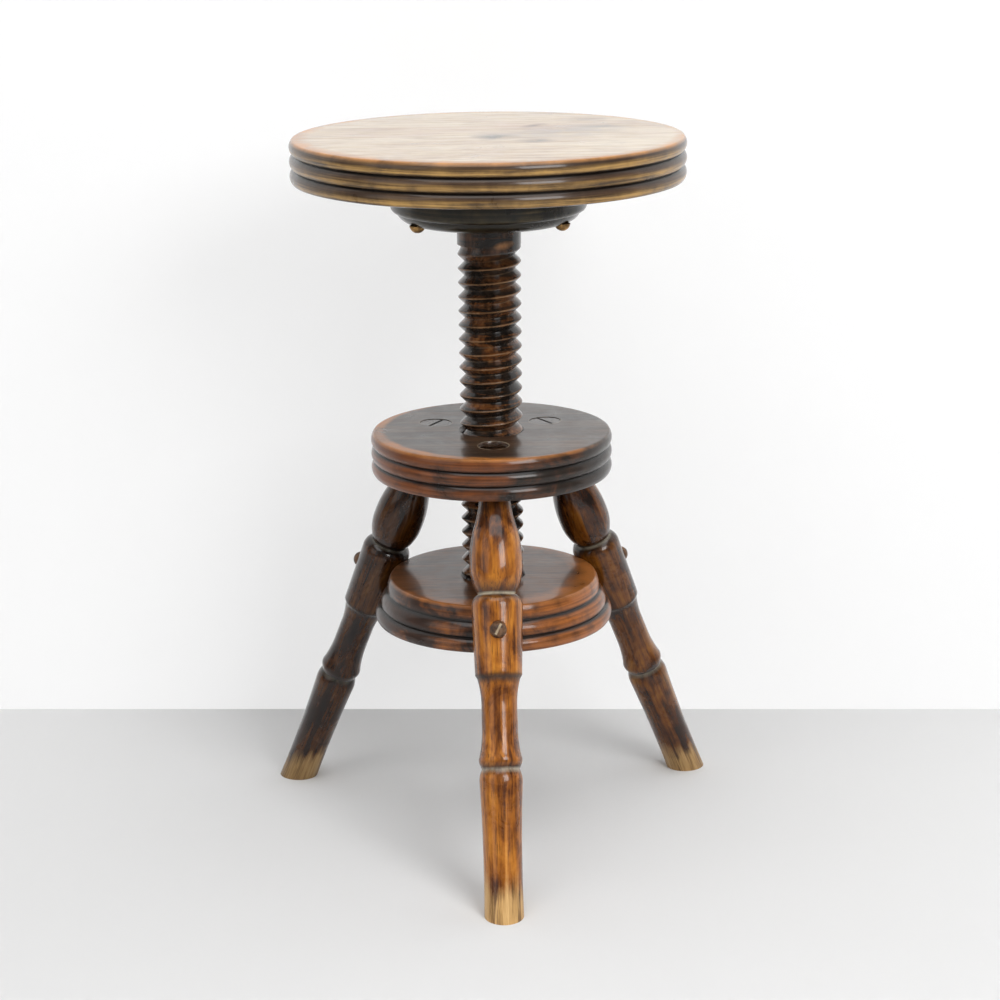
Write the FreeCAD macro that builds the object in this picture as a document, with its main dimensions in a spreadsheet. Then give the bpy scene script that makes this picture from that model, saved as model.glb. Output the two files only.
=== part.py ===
import FreeCAD, Part
import Sketcher
import math
import os
import re
from FreeCAD import Vector

doc = FreeCAD.newDocument("PianoStool")

# Sizes in millimetres and degrees.
SIZES = [
    # seat
    ("seat_radius", 172.5),
    ("seat_thickness", 38),
    ("seat_top_height", 635),
    ("seat_reed_depth", 3.2),
    ("seat_edge_round", 2.5),
    # flange under the seat
    ("flange_radius", 86),
    ("flange_thickness", 36),
    ("flange_side_height", 14),
    ("flange_lip_height", 9),
    ("flange_lip_radius", 81),
    ("flange_face_radius", 70),
    ("flange_screw_circle", 72),
    ("flange_screw_seat_depth", 2),
    ("flange_screw_length", 50),
    ("flange_screw_shank", 2.5),
    ("flange_screw_head", 7),
    ("flange_screw_head_height", 6.5),
    # wooden screw
    ("thread_pitch", 12.7),
    ("thread_crest", 28),
    ("thread_root", 22.35),
    ("thread_crest_height", 525.1),
    ("spindle_bottom_height", 178),
    ("spindle_chamfer", 5),
    ("collar_length", 20),
    ("collar_step", 0.2),
    ("spindle_tenon_radius", 19),
    ("tenon_pin_radius", 5),
    ("tenon_pin_length", 30),
    # discs of the base
    ("middle_radius", 108),
    ("middle_thickness", 38),
    ("middle_top_height", 372),
    ("disc_reed_depth", 2.8),
    ("disc_edge_round", 2),
    ("lower_housing_depth", 0.55),
    ("lower_thickness", 40),
    ("lower_drop", 156),
    # legs
    ("leg_splay", 23.5),
    ("leg_top_circle", 57),
    ("leg_tenon_radius", 13.4),
    ("leg_neck", 45),
    ("leg_bulb_radius", 23.1),
    ("leg_bulb", 105),
    ("leg_upper_groove", 131),
    ("leg_groove_radius", 16.4),
    ("leg_block_radius", 22.7),
    ("leg_shoulder", 10),
    ("leg_block_low_radius", 20.4),
    ("leg_step", 201),
    ("leg_step_fall", 1.8),
    ("leg_step_run", 3),
    ("leg_hollow", 27),
    ("leg_waist_radius", 15.5),
    ("leg_flare", 30),
    ("leg_ring_radius", 18.8),
    ("leg_ring", 274.6),
    ("leg_ring_half", 4),
    ("leg_lower_groove", 3),
    ("leg_shin_shoulder", 11),
    ("leg_shin_radius", 18.7),
    ("leg_ankle_radius", 16.8),
    ("leg_ankle", 350),
    ("leg_foot_radius", 17.5),
    ("wedge_thickness", 3),
    ("wedge_tip", 1),
    ("wedge_depth", 24),
    # leg screws
    ("leg_screw_drop", 2.5),
    ("leg_screw_length", 62),
    ("leg_screw_shank", 2.75),
    ("leg_screw_head", 7.3),
    ("leg_screw_head_height", 6.5),
    ("leg_screw_seat_depth", 2),
    ("slot_width", 1.6),
    ("slot_depth", 1.8),
    # clearances
    ("thread_clearance", 0.6),
    ("joint_clearance", 0.15),
    ("pin_clearance", 0.3),
    ("pilot_spare", 1),
    ("spot_margin", 0.6),
]
sheet = doc.addObject("Spreadsheet::Sheet", "Sizes")
for row, (alias, value) in enumerate(SIZES, start=1):
    sheet.set("A%d" % row, alias)
    sheet.set("B%d" % row, str(value))
    sheet.setAlias("B%d" % row, alias)
doc.recompute()


def linked(formula):
    """A formula in the sheet's words, as an expression on the sheet."""
    return re.sub("[a-z][a-z_]+", lambda word: WORDS.get(word.group(), word.group()), formula)


WORDS = {alias: "Sizes." + alias for alias, value in SIZES}


def size(alias):
    return float(sheet.get(alias))


def value_of(formula):
    """The present value of a formula in the sheet's words."""
    result = sheet.evalExpression(linked(formula))
    return float(getattr(result, "Value", result))


def bind(item, **formulas):
    for prop, formula in formulas.items():
        item.setExpression(prop, linked(formula))


def place(item, formula):
    item.setExpression("Placement", linked(formula))


def at(x, y, z, turn="rotationz(0)"):
    return "placement(vector(%s; %s; %s); %s)" % (x, y, z, turn)


def new_body(label):
    body = doc.addObject("PartDesign::Body", label)
    body.Label = label
    return body


def new_sketch(body, name, role, lift=None):
    sketch = body.newObject("Sketcher::SketchObject", name)
    plane = [item for item in body.Origin.OriginFeatures if item.Role == role][0]
    sketch.AttachmentSupport = (plane, [""])
    sketch.MapMode = "FlatFace"
    if lift:
        sketch.setExpression("AttachmentOffset.Base.z", linked(lift))
    return sketch


def pin_point(sketch, geometry, end, x, y):
    """Constraints that hold one point at the formulas x and y."""
    rules = []
    formulas = []
    for kind, axis, formula in (("DistanceX", -2, x), ("DistanceY", -1, y)):
        if formula == "0":
            rules.append(Sketcher.Constraint("PointOnObject", geometry, end, axis))
            formulas.append(None)
        else:
            rules.append(Sketcher.Constraint(kind, -1, 1, geometry, end, value_of(formula)))
            formulas.append(formula)
    return rules, formulas


def draw(sketch, start, *steps):
    """A closed outline: two formulas lead a line to a point, four lead an arc through a point to a point."""
    corners = [start] + [step[-2:] for step in steps]
    rules = []
    formulas = []
    pieces = []
    for index, step in enumerate(steps + (start,)):
        first = Vector(*[value_of(word) for word in corners[index]])
        last = Vector(*[value_of(word) for word in corners[(index + 1) % len(corners)]])
        if len(step) == 4:
            middle = Vector(*[value_of(word) for word in step[:2]])
            piece = sketch.addGeometry(Part.Arc(first, middle, last))
            mark = sketch.addGeometry(Part.Point(middle), True)
            rules.append(Sketcher.Constraint("PointOnObject", mark, 1, piece))
            formulas.append(None)
            more_rules, more_formulas = pin_point(sketch, mark, 1, *step[:2])
            rules += more_rules
            formulas += more_formulas
        else:
            piece = sketch.addGeometry(Part.LineSegment(first, last))
        forward = (sketch.getPoint(piece, 1) - first).Length < 0.000001
        pieces.append((piece, 1, 2) if forward else (piece, 2, 1))
    for index, (piece, head, tail) in enumerate(pieces):
        before, unused, before_tail = pieces[index - 1]
        rules.append(Sketcher.Constraint("Coincident", before, before_tail, piece, head))
        formulas.append(None)
        more_rules, more_formulas = pin_point(sketch, piece, head, *corners[index])
        rules += more_rules
        formulas += more_formulas
    for index, formula in zip(sketch.addConstraint(rules), formulas):
        if formula:
            sketch.setExpression("Constraints[%d]" % index, linked(formula))


def circle(sketch, x, y, radius):
    """A circle with its centre and radius held by formulas."""
    centre = Vector(value_of(x), value_of(y))
    ring = sketch.addGeometry(Part.Circle(centre, Vector(0, 0, 1), value_of(radius)))
    rules, formulas = pin_point(sketch, ring, 3, x, y)
    rules.append(Sketcher.Constraint("Radius", ring, value_of(radius)))
    formulas.append(radius)
    for index, formula in zip(sketch.addConstraint(rules), formulas):
        if formula:
            sketch.setExpression("Constraints[%d]" % index, linked(formula))


def turn(body, name, start, *steps):
    """Turn an outline, drawn as radius and height, about the body's upright axis."""
    outline = new_sketch(body, name + "_outline", "XZ_Plane")
    draw(outline, start, *steps)
    turned = body.newObject("PartDesign::Revolution", name)
    turned.Profile = outline
    turned.ReferenceAxis = (outline, ["V_Axis"])
    turned.Angle = 360
    return turned


def cut_through(body, name, sketch):
    pocket = body.newObject("PartDesign::Pocket", name)
    pocket.Profile = sketch
    pocket.Type = "ThroughAll"
    pocket.SideType = "Symmetric"
    return pocket


def bore(body, name, x, y, radius, depth):
    """A round hole upwards from the body's underside."""
    sketch = new_sketch(body, name + "_circle", "XY_Plane")
    circle(sketch, x, y, radius)
    pocket = body.newObject("PartDesign::Pocket", name)
    pocket.Profile = sketch
    pocket.Reversed = True
    bind(pocket, Length=depth)
    return pocket


def around(body, name, originals, count):
    """Repeat cuts evenly about the body's upright axis."""
    pattern = body.newObject("PartDesign::PolarPattern", name)
    pattern.Originals = originals
    pattern.Axis = (originals[0].Profile[0], ["N_Axis"])
    pattern.Angle = 360
    pattern.Occurrences = count
    body.Tip = pattern
    return pattern


def cylinder(name, radius, height, formula):
    item = doc.addObject("Part::Cylinder", name)
    bind(item, Radius=radius, Height=height)
    place(item, formula)
    return item


def cut(label, base, tools):
    group = doc.addObject("Part::Compound", label + "_cuts")
    group.Links = tools
    item = doc.addObject("Part::Cut", label)
    item.Label = label
    item.Base = base
    item.Tool = group
    return item


def reeded(body, name, underside, top, radii, depth, edge):
    """A disc whose edge is a stack of half-round beads, given from the underside up."""
    rise = "(%s - (%s)) / %d" % (top, underside, len(radii))
    steps = []
    for level, radius in enumerate(radii):
        above = radii[min(level + 1, len(radii) - 1)]
        steps.append((
            radius,
            "%s + (%s) * %s" % (underside, rise, level + 0.5),
            "(%s + %s) / 2 - %s" % (radius, above, depth),
            "%s + (%s) * %d" % (underside, rise, level + 1),
        ))
    turned = turn(body, name, ("0", underside), ("%s - %s" % (radii[0], depth), underside), *steps, ("0", top))
    doc.recompute()
    rounding = body.newObject("PartDesign::Fillet", name + "_edges")
    rims = [
        "Edge%d" % (index + 1)
        for index, rim in enumerate(turned.Shape.Edges)
        if abs(rim.BoundBox.ZLength) < 0.001 and rim.BoundBox.XLength > 1
        and min(abs(rim.BoundBox.ZMin - value_of(level)) for level in (underside, top)) < 0.001
    ]
    rounding.Base = (turned, rims)
    bind(rounding, Radius=edge)
    return rounding


# Heights shared by the pieces: the seat's underside, the flange's underside, the discs' faces.
SEAT_UNDERSIDE = "seat_top_height - seat_thickness"
FLANGE_UNDERSIDE = "seat_top_height - seat_thickness - flange_thickness"
MIDDLE_UNDERSIDE = "middle_top_height - middle_thickness"
LOWER_UNDERSIDE = "middle_top_height - lower_drop - lower_thickness / 2"
LOWER_TOP = "middle_top_height - lower_drop + lower_thickness / 2"
RUNOUT = "seat_top_height - seat_thickness - flange_thickness - collar_length"

parts = []

# Seat: a thick disc, its edge turned into three beads, with pilot holes for the flange screws.
seat_disc = new_body("seat_disc")
reeded(seat_disc, "seat_turning", "0", "seat_thickness", ["seat_radius"] * 3, "seat_reed_depth", "seat_edge_round")
pilot = bore(
    seat_disc,
    "pilot",
    "0",
    "flange_screw_circle",
    "flange_screw_shank + joint_clearance",
    "flange_screw_length + flange_screw_seat_depth - flange_thickness + pilot_spare",
)
around(seat_disc, "pilots", [pilot], 3)
place(seat_disc, at("0", "0", SEAT_UNDERSIDE))
parts.append(seat_disc)

# Flange: a turned block with a rounded side, an edge line and a bevel down to its face.
flange = new_body("seat_flange")
turn(
    flange,
    "flange_turning",
    ("spindle_tenon_radius + joint_clearance", "0"),
    ("flange_face_radius", "0"),
    (
        "flange_face_radius + (flange_lip_radius - flange_face_radius) * 0.62",
        "flange_lip_height * 0.36",
        "flange_lip_radius",
        "flange_lip_height",
    ),
    (
        "flange_lip_radius + (flange_radius - flange_lip_radius) * 0.7",
        "flange_lip_height + (flange_side_height - flange_lip_height) * 0.3",
        "flange_radius",
        "flange_side_height",
    ),
    ("flange_radius", "flange_thickness"),
    ("spindle_tenon_radius + joint_clearance", "flange_thickness"),
)
hole = bore(
    flange, "hole", "0", "flange_screw_circle", "flange_screw_shank + joint_clearance", "flange_thickness + pilot_spare"
)
spot = bore(
    flange, "spot", "0", "flange_screw_circle", "flange_screw_head + spot_margin", "flange_screw_seat_depth"
)
around(flange, "screw_places", [hole, spot], 3)
place(flange, at("0", "0", FLANGE_UNDERSIDE))
parts.append(flange)


def round_head_screw(label, head, head_height, shank, length):
    """A wood screw with a domed slotted head above its seat and a pointed shank below it."""
    screw = new_body(label)
    slant = "sqrt(%s ^ 2 + %s ^ 2)" % (head, head_height)
    dome = "(%s ^ 2 + %s ^ 2) / (2 * %s)" % (head, head_height, head_height)
    turn(
        screw,
        label + "_turning",
        ("0", "-(%s)" % length),
        (shank, "2 * %s - %s" % (shank, length)),
        (shank, "0"),
        (head, "0"),
        (
            "%s / 2" % slant,
            "%s - (%s) * (1 - %s / %s)" % (head_height, dome, head, slant),
            "0",
            head_height,
        ),
    )
    slot = new_sketch(screw, label + "_slot_outline", "XZ_Plane")
    draw(
        slot,
        ("-slot_width / 2", "%s - slot_depth" % head_height),
        ("slot_width / 2", "%s - slot_depth" % head_height),
        ("slot_width / 2", "%s + slot_depth" % head_height),
        ("-slot_width / 2", "%s + slot_depth" % head_height),
    )
    cut_through(screw, label + "_slot", slot)
    return screw


# Flange screws: up through the flange into the seat, 120 degrees apart.
for name, azimuth, slot_angle in (("front_left", -150, 25), ("front_right", -30, 70), ("back", 90, 130)):
    screw = round_head_screw(
        "flange_screw_" + name,
        "flange_screw_head",
        "flange_screw_head_height",
        "flange_screw_shank",
        "flange_screw_length",
    )
    place(
        screw,
        at(
            "flange_screw_circle * cos(%d)" % azimuth,
            "flange_screw_circle * sin(%d)" % azimuth,
            FLANGE_UNDERSIDE + " + flange_screw_seat_depth",
            "rotationx(180) * rotationz(%d)" % slot_angle,
        ),
    )
    parts.append(screw)

# The wooden thread: a sharp right-hand V. Its crest and root lines climb one pitch a turn in quarter-turn
# arcs, and each flank is ruled between them. The lowest and highest crest turns are joined to the axis, so
# the form is one closed solid that is a pitch longer than the thread at each end.
ARCS = 4


def helix_point(radius, turns, height):
    angle = 2 * math.pi * turns
    return Vector(radius * math.cos(angle), radius * math.sin(angle), height)


def helix_arc(radius, end_radius, step, start_height):
    """One arc of a helix, from arc number step to the next, its radius changing evenly."""
    pitch = size("thread_pitch")
    ends = [
        helix_point(radius + (end_radius - radius) * share, (step + share) / ARCS,
                    start_height + pitch * (step + share) / ARCS)
        for share in (0, 0.5, 1)
    ]
    return Part.Arc(*ends).toShape()


def thread_solid(start_height, arcs, crest, root, fade):
    """The thread's solid. With fade, its groove runs out to the crest over its last two arcs."""
    pitch = size("thread_pitch")
    full = arcs - ARCS
    roots = [root] * (full + 1)
    if fade:
        roots[-3:] = [(crest + root) / 2, crest - 0.1, crest - 0.1]
    crests = [helix_arc(crest, crest, step, start_height) for step in range(arcs)]
    grooves = [
        helix_arc(roots[step], roots[step + 1], step, start_height + pitch / 2) for step in range(full)
    ]
    faces = []
    for step in range(full):
        faces.append(Part.makeRuledSurface(crests[step], grooves[step]))
        faces.append(Part.makeRuledSurface(grooves[step], crests[step + ARCS]))
    for step in list(range(ARCS)) + list(range(full, arcs)):
        low = Vector(0, 0, start_height + pitch * step / ARCS)
        high = Vector(0, 0, start_height + pitch * (step + 1) / ARCS)
        faces.append(Part.makeRuledSurface(Part.LineSegment(low, high).toShape(), crests[step]))
    for step in (0, full):
        turns = step / ARCS
        height = start_height + pitch * turns
        corners = [
            Vector(0, 0, height),
            helix_point(crest, turns, height),
            helix_point(roots[step], turns, height + pitch / 2),
            helix_point(crest, turns, height + pitch),
            Vector(0, 0, height + pitch),
        ]
        faces.append(Part.Face(Part.makePolygon(corners + corners[:1])))
    shell = Part.makeShell(faces)
    shell.sewShape()
    solid = Part.Solid(shell)
    if solid.Volume < 0:
        solid.reverse()
    return solid


def crest_below(height):
    """The height of the thread's crest line on the front of the frame's first axis, at or below a height."""
    pitch = size("thread_pitch")
    known = size("thread_crest_height")
    return known - pitch * math.ceil((known - height) / pitch)


def tap(name, underside, top):
    """The thread as a cutter for a disc between two heights, larger all round by the thread's clearance."""
    pitch = size("thread_pitch")
    start = crest_below(underside - pitch)
    turns = math.ceil((top - start) / pitch) + 1
    clearance = size("thread_clearance")
    cutter = doc.addObject("Part::Feature", name)
    cutter.Shape = thread_solid(
        start, turns * ARCS, size("thread_crest") + clearance, size("thread_root") + clearance, False
    )
    return cutter


# Screw (spindle): the thread within a chamfered envelope, a plain collar, and a tenon through the flange
# that is bored from above for its pin.
thread_start = crest_below(size("spindle_bottom_height") - size("thread_pitch"))
runout_arcs = (value_of(RUNOUT) - thread_start) / size("thread_pitch") * ARCS - ARCS / 2
thread = doc.addObject("Part::Feature", "thread")
thread.Shape = thread_solid(
    thread_start, round(runout_arcs) + ARCS + 1, size("thread_crest"), size("thread_root"), True
)
envelope = new_body("envelope")
turn(
    envelope,
    "envelope_turning",
    ("0", "spindle_bottom_height"),
    ("thread_crest * 1.05 - spindle_chamfer", "spindle_bottom_height"),
    ("thread_crest * 1.05", "spindle_bottom_height + spindle_chamfer"),
    ("thread_crest * 1.05", RUNOUT + " + thread_pitch"),
    ("0", RUNOUT + " + thread_pitch"),
)
threaded = doc.addObject("Part::Common", "threaded")
threaded.Base = thread
threaded.Tool = envelope
collar = new_body("collar")
turn(
    collar,
    "collar_turning",
    ("0", RUNOUT),
    ("thread_crest + collar_step", RUNOUT),
    ("thread_crest + collar_step", FLANGE_UNDERSIDE),
    ("spindle_tenon_radius", FLANGE_UNDERSIDE),
    ("spindle_tenon_radius", SEAT_UNDERSIDE),
    ("0", SEAT_UNDERSIDE),
)
shaft = doc.addObject("Part::Fuse", "shaft")
shaft.Base = threaded
shaft.Tool = collar
pin_bore = cylinder(
    "pin_bore",
    "tenon_pin_radius + pin_clearance",
    "tenon_pin_length + 2 * pin_clearance",
    at("0", "0", SEAT_UNDERSIDE + " - tenon_pin_length - 2 * pin_clearance"),
)
parts.append(cut("spindle", shaft, [pin_bore]))

# Tenon pin: round, on the screw's own axis, driven into the top of the tenon.
tenon_pin = cylinder(
    "tenon_pin",
    "tenon_pin_radius",
    "tenon_pin_length",
    at("0", "0", SEAT_UNDERSIDE + " - tenon_pin_length - pin_clearance"),
)
parts.append(tenon_pin)

# Legs: where each stands, as seen from above, the name of its side and its screw's slot.
LEGS = (("front", -90, 62), ("right", 30, 15), ("left", 150, 100))


def leg_place(azimuth, x="0", z="0", turned="rotationz(0)"):
    """A place in a leg's own frame: z runs down the leg from the disc's top, x points outwards."""
    frame = at(
        "leg_top_circle * cos(%d)" % azimuth,
        "leg_top_circle * sin(%d)" % azimuth,
        "middle_top_height",
        "rotationz(%d) * rotationy(180 - leg_splay) * rotationz(180)" % azimuth,
    )
    return frame + " * " + at(x, "0", z, turned)


# Middle disc: three equal beads, the upper tapped bore and a slanting socket through it for each leg.
middle_blank = new_body("middle_blank")
reeded(
    middle_blank,
    "middle_turning",
    MIDDLE_UNDERSIDE,
    "middle_top_height",
    ["middle_radius"] * 3,
    "disc_reed_depth",
    "disc_edge_round",
)
middle_cuts = [
    tap("upper_tap", value_of(MIDDLE_UNDERSIDE), size("middle_top_height"))
]
for name, azimuth, slot_angle in LEGS:
    middle_cuts.append(
        cylinder(
            "socket_" + name,
            "leg_tenon_radius + joint_clearance",
            "middle_thickness * 2",
            leg_place(azimuth, z="-middle_thickness / 2"),
        )
    )
parts.append(cut("middle_disc", middle_blank, middle_cuts))

# Lower disc: beads that step outwards with the legs, the lower tapped bore, a shallow housing where each
# leg bears on its edge, and a pilot hole for each leg screw.
STEP_OUT = "lower_thickness / 3 * tan(leg_splay)"
TAPER = "(leg_block_radius - leg_block_low_radius) / (leg_step - leg_upper_groove)"
LEG_THERE = "(leg_block_radius - %s * (lower_drop / cos(leg_splay) - leg_upper_groove))" % TAPER
LOWER_RADIUS = (
    "leg_top_circle + lower_drop * tan(leg_splay) - %s / cos(leg_splay) + lower_housing_depth" % LEG_THERE
)
SCREW_PLACE = (
    "(lower_drop + leg_screw_drop - leg_block_radius * sin(leg_splay)) / cos(leg_splay)"
)
lower_blank = new_body("lower_blank")
reeded(
    lower_blank,
    "lower_turning",
    LOWER_UNDERSIDE,
    LOWER_TOP,
    ["(%s + %s)" % (LOWER_RADIUS, STEP_OUT), "(%s)" % LOWER_RADIUS, "(%s - %s)" % (LOWER_RADIUS, STEP_OUT)],
    "disc_reed_depth",
    "disc_edge_round",
)
lower_cuts = [
    tap("lower_tap", value_of(LOWER_UNDERSIDE), value_of(LOWER_TOP))
]
for name, azimuth, slot_angle in LEGS:
    housing = doc.addObject("Part::Cone", "housing_" + name)
    bind(
        housing,
        Radius1="leg_block_radius + joint_clearance",
        Radius2="leg_block_low_radius + joint_clearance",
        Height="leg_step - leg_upper_groove",
    )
    place(housing, leg_place(azimuth, z="leg_upper_groove"))
    lower_cuts.append(housing)
    lower_cuts.append(
        cylinder(
            "leg_pilot_" + name,
            "leg_screw_shank + joint_clearance",
            "leg_screw_length + pilot_spare",
            leg_place(azimuth, "leg_block_radius - leg_screw_seat_depth", SCREW_PLACE, "rotationy(-90)"),
        )
    )
parts.append(cut("lower_disc", lower_blank, lower_cuts))

# Legs: a tenon, a bulb, a groove, a block that takes the screw, a waist with a ring, a second groove and a
# slightly hollow shin. The tenon's top and the foot are cut level.
FLOOR = "middle_top_height / cos(leg_splay)"
REACH = "2 * leg_foot_radius"
DROP = "2 * leg_foot_radius * tan(leg_splay)"
ABOVE_DISC = (("-" + REACH, "-" + DROP), (REACH, DROP), (REACH, "-2 * " + DROP), ("-" + REACH, "-2 * " + DROP))
WEDGE = (
    ("-wedge_thickness / 2", "-leg_tenon_radius"),
    ("wedge_thickness / 2", "-leg_tenon_radius"),
    ("wedge_tip / 2", "wedge_depth"),
    ("-wedge_tip / 2", "wedge_depth"),
)
for name, azimuth, slot_angle in LEGS:
    leg = new_body("leg_" + name)
    turn(
        leg,
        "leg_turning_" + name,
        ("0", "-leg_tenon_radius"),
        ("leg_tenon_radius", "-leg_tenon_radius"),
        ("leg_tenon_radius", "leg_neck"),
        (
            "leg_tenon_radius + (leg_bulb_radius - leg_tenon_radius) * 0.2",
            "leg_neck + (leg_bulb - leg_neck) * 0.25",
            "leg_tenon_radius + (leg_bulb_radius - leg_tenon_radius) * 0.58",
            "leg_neck + (leg_bulb - leg_neck) * 0.47",
        ),
        (
            "leg_tenon_radius + (leg_bulb_radius - leg_tenon_radius) * 0.9",
            "leg_neck + (leg_bulb - leg_neck) * 0.72",
            "leg_bulb_radius",
            "leg_bulb",
        ),
        (
            "leg_groove_radius + (leg_bulb_radius - leg_groove_radius) * 0.68",
            "leg_bulb + (leg_upper_groove - leg_bulb) * 0.6",
            "leg_groove_radius",
            "leg_upper_groove",
        ),
        (
            "leg_groove_radius + (leg_block_radius - leg_groove_radius) * 0.7",
            "leg_upper_groove + leg_shoulder * 0.42",
            "leg_block_radius - %s * leg_shoulder" % TAPER,
            "leg_upper_groove + leg_shoulder",
        ),
        ("leg_block_low_radius", "leg_step"),
        ("leg_block_low_radius - leg_step_fall", "leg_step + leg_step_run"),
        (
            "leg_waist_radius + (leg_block_low_radius - leg_step_fall - leg_waist_radius) * 0.3",
            "leg_step + leg_step_run + (leg_hollow - leg_step_run) * 0.42",
            "leg_waist_radius",
            "leg_step + leg_hollow",
        ),
        ("leg_waist_radius", "leg_ring - leg_flare"),
        (
            "leg_waist_radius + (leg_ring_radius - leg_waist_radius) * 0.24",
            "leg_ring - leg_flare * 0.5",
            "leg_ring_radius - (leg_ring_radius - leg_waist_radius) * 0.2",
            "leg_ring - leg_ring_half",
        ),
        (
            "leg_ring_radius",
            "leg_ring",
            "leg_ring_radius - (leg_ring_radius - leg_waist_radius) * 0.4",
            "leg_ring + leg_ring_half",
        ),
        ("leg_groove_radius", "leg_ring + leg_ring_half + leg_lower_groove"),
        (
            "leg_shin_radius - (leg_shin_radius - leg_groove_radius) * 0.25",
            "leg_ring + leg_ring_half + leg_lower_groove + leg_shin_shoulder * 0.45",
            "leg_shin_radius",
            "leg_ring + leg_ring_half + leg_lower_groove + leg_shin_shoulder",
        ),
        (
            "leg_ankle_radius",
            "leg_ankle",
            "leg_foot_radius",
            FLOOR + " + leg_foot_radius",
        ),
        ("0", FLOOR + " + leg_foot_radius"),
    )
    level = new_sketch(leg, "level_cuts_" + name, "XZ_Plane")
    draw(level, *ABOVE_DISC)
    draw(
        level,
        ("-" + REACH, "%s - %s" % (FLOOR, DROP)),
        (REACH, "%s + %s" % (FLOOR, DROP)),
        (REACH, "%s + 3 * %s" % (FLOOR, DROP)),
        ("-" + REACH, "%s + 3 * %s" % (FLOOR, DROP)),
    )
    cut_through(leg, "level_" + name, level)
    kerf = new_sketch(leg, "kerf_outline_" + name, "XZ_Plane")
    draw(kerf, *WEDGE)
    cut_through(leg, "kerf_" + name, kerf)
    shank = new_sketch(leg, "shank_circle_" + name, "YZ_Plane")
    circle(shank, "0", SCREW_PLACE, "leg_screw_shank + joint_clearance")
    cut_through(leg, "shank_hole_" + name, shank)
    seat = new_sketch(leg, "screw_seat_circle_" + name, "YZ_Plane", "leg_block_radius - leg_screw_seat_depth")
    circle(seat, "0", SCREW_PLACE, "leg_screw_head + spot_margin")
    recess = leg.newObject("PartDesign::Pocket", "screw_seat_" + name)
    recess.Profile = seat
    recess.Reversed = True
    bind(recess, Length="leg_block_radius")
    place(leg, leg_place(azimuth))
    parts.append(leg)

# Wedges: driven into the saw cut in the top of each leg tenon, and cut level with the disc.
for name, azimuth, slot_angle in LEGS:
    wedge = new_body("leg_wedge_" + name)
    outline = new_sketch(wedge, "wedge_outline_" + name, "XZ_Plane")
    draw(outline, *WEDGE)
    pad = wedge.newObject("PartDesign::Pad", "wedge_" + name)
    pad.Profile = outline
    pad.SideType = "Symmetric"
    bind(pad, Length="2 * leg_tenon_radius - wedge_thickness / 2")
    level = new_sketch(wedge, "wedge_level_" + name, "XZ_Plane")
    draw(level, *ABOVE_DISC)
    cut_through(wedge, "wedge_top_" + name, level)
    place(wedge, leg_place(azimuth))
    parts.append(wedge)

# Leg screws: square to each leg, through its block and into the edge of the lower disc.
for name, azimuth, slot_angle in LEGS:
    screw = round_head_screw(
        "leg_screw_" + name,
        "leg_screw_head",
        "leg_screw_head_height",
        "leg_screw_shank",
        "leg_screw_length",
    )
    turned = "rotationy(90) * rotationz(%d)" % slot_angle
    place(screw, leg_place(azimuth, "leg_block_radius - leg_screw_seat_depth", SCREW_PLACE, turned))
    parts.append(screw)

doc.recompute()
for item in doc.Objects:
    if "Invalid" in item.State or "Error" in item.State:
        raise RuntimeError("%s did not build: %s" % (item.Label, item.State))
for item in parts:
    if item.Shape.isNull() or not item.Shape.isValid() or len(item.Shape.Solids) != 1:
        raise RuntimeError("%s is not one sound solid" % item.Label)

os.makedirs("parts", exist_ok=True)
for item in parts:
    item.Shape.exportStep("parts/%s.step" % item.Label)
    print(item.Label, round(item.Shape.Volume), len(item.Shape.Faces))
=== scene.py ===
import math
import bmesh
import bpy
from mathutils import Matrix, Vector


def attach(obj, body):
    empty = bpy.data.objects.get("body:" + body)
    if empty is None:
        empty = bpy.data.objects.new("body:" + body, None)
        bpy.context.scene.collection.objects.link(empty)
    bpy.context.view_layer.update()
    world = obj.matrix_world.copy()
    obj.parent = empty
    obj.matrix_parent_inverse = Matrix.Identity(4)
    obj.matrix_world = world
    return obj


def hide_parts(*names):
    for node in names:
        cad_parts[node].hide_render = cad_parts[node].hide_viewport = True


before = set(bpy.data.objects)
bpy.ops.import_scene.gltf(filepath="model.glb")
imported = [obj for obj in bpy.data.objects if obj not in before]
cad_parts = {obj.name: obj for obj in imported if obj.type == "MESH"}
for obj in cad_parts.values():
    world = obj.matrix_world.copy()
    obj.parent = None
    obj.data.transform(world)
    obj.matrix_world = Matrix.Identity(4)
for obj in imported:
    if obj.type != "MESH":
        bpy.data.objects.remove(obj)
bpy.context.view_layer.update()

# Seat: one thick round of old fruitwood, turned on its edge into three beads with
# hollows between. Its top has gone pale and patchy from use and polish, with knots,
# short dark cracks and a brown worn rim, and old dirt lies black in the hollows.

def arc(first, middle, last, steps):
    """Points of a circular arc through three points of an outline, without the first."""
    (ax, ay), (bx, by), (cx, cy) = first, middle, last
    d = 2 * (ax * (by - cy) + bx * (cy - ay) + cx * (ay - by))
    aa, bb, cc = ax * ax + ay * ay, bx * bx + by * by, cx * cx + cy * cy
    ux = (aa * (by - cy) + bb * (cy - ay) + cc * (ay - by)) / d
    uy = (aa * (cx - bx) + bb * (ax - cx) + cc * (bx - ax)) / d
    radius = math.hypot(ax - ux, ay - uy)
    start = math.atan2(ay - uy, ax - ux)
    half = math.remainder(math.atan2(by - uy, bx - ux) - start, 2 * math.pi)
    rest = math.remainder(math.atan2(cy - uy, cx - ux) - math.atan2(by - uy, bx - ux), 2 * math.pi)
    sweep = half + rest
    angles = [start + sweep * i / steps for i in range(1, steps + 1)]
    return [(ux + radius * math.cos(angle), uy + radius * math.sin(angle)) for angle in angles]


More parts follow.
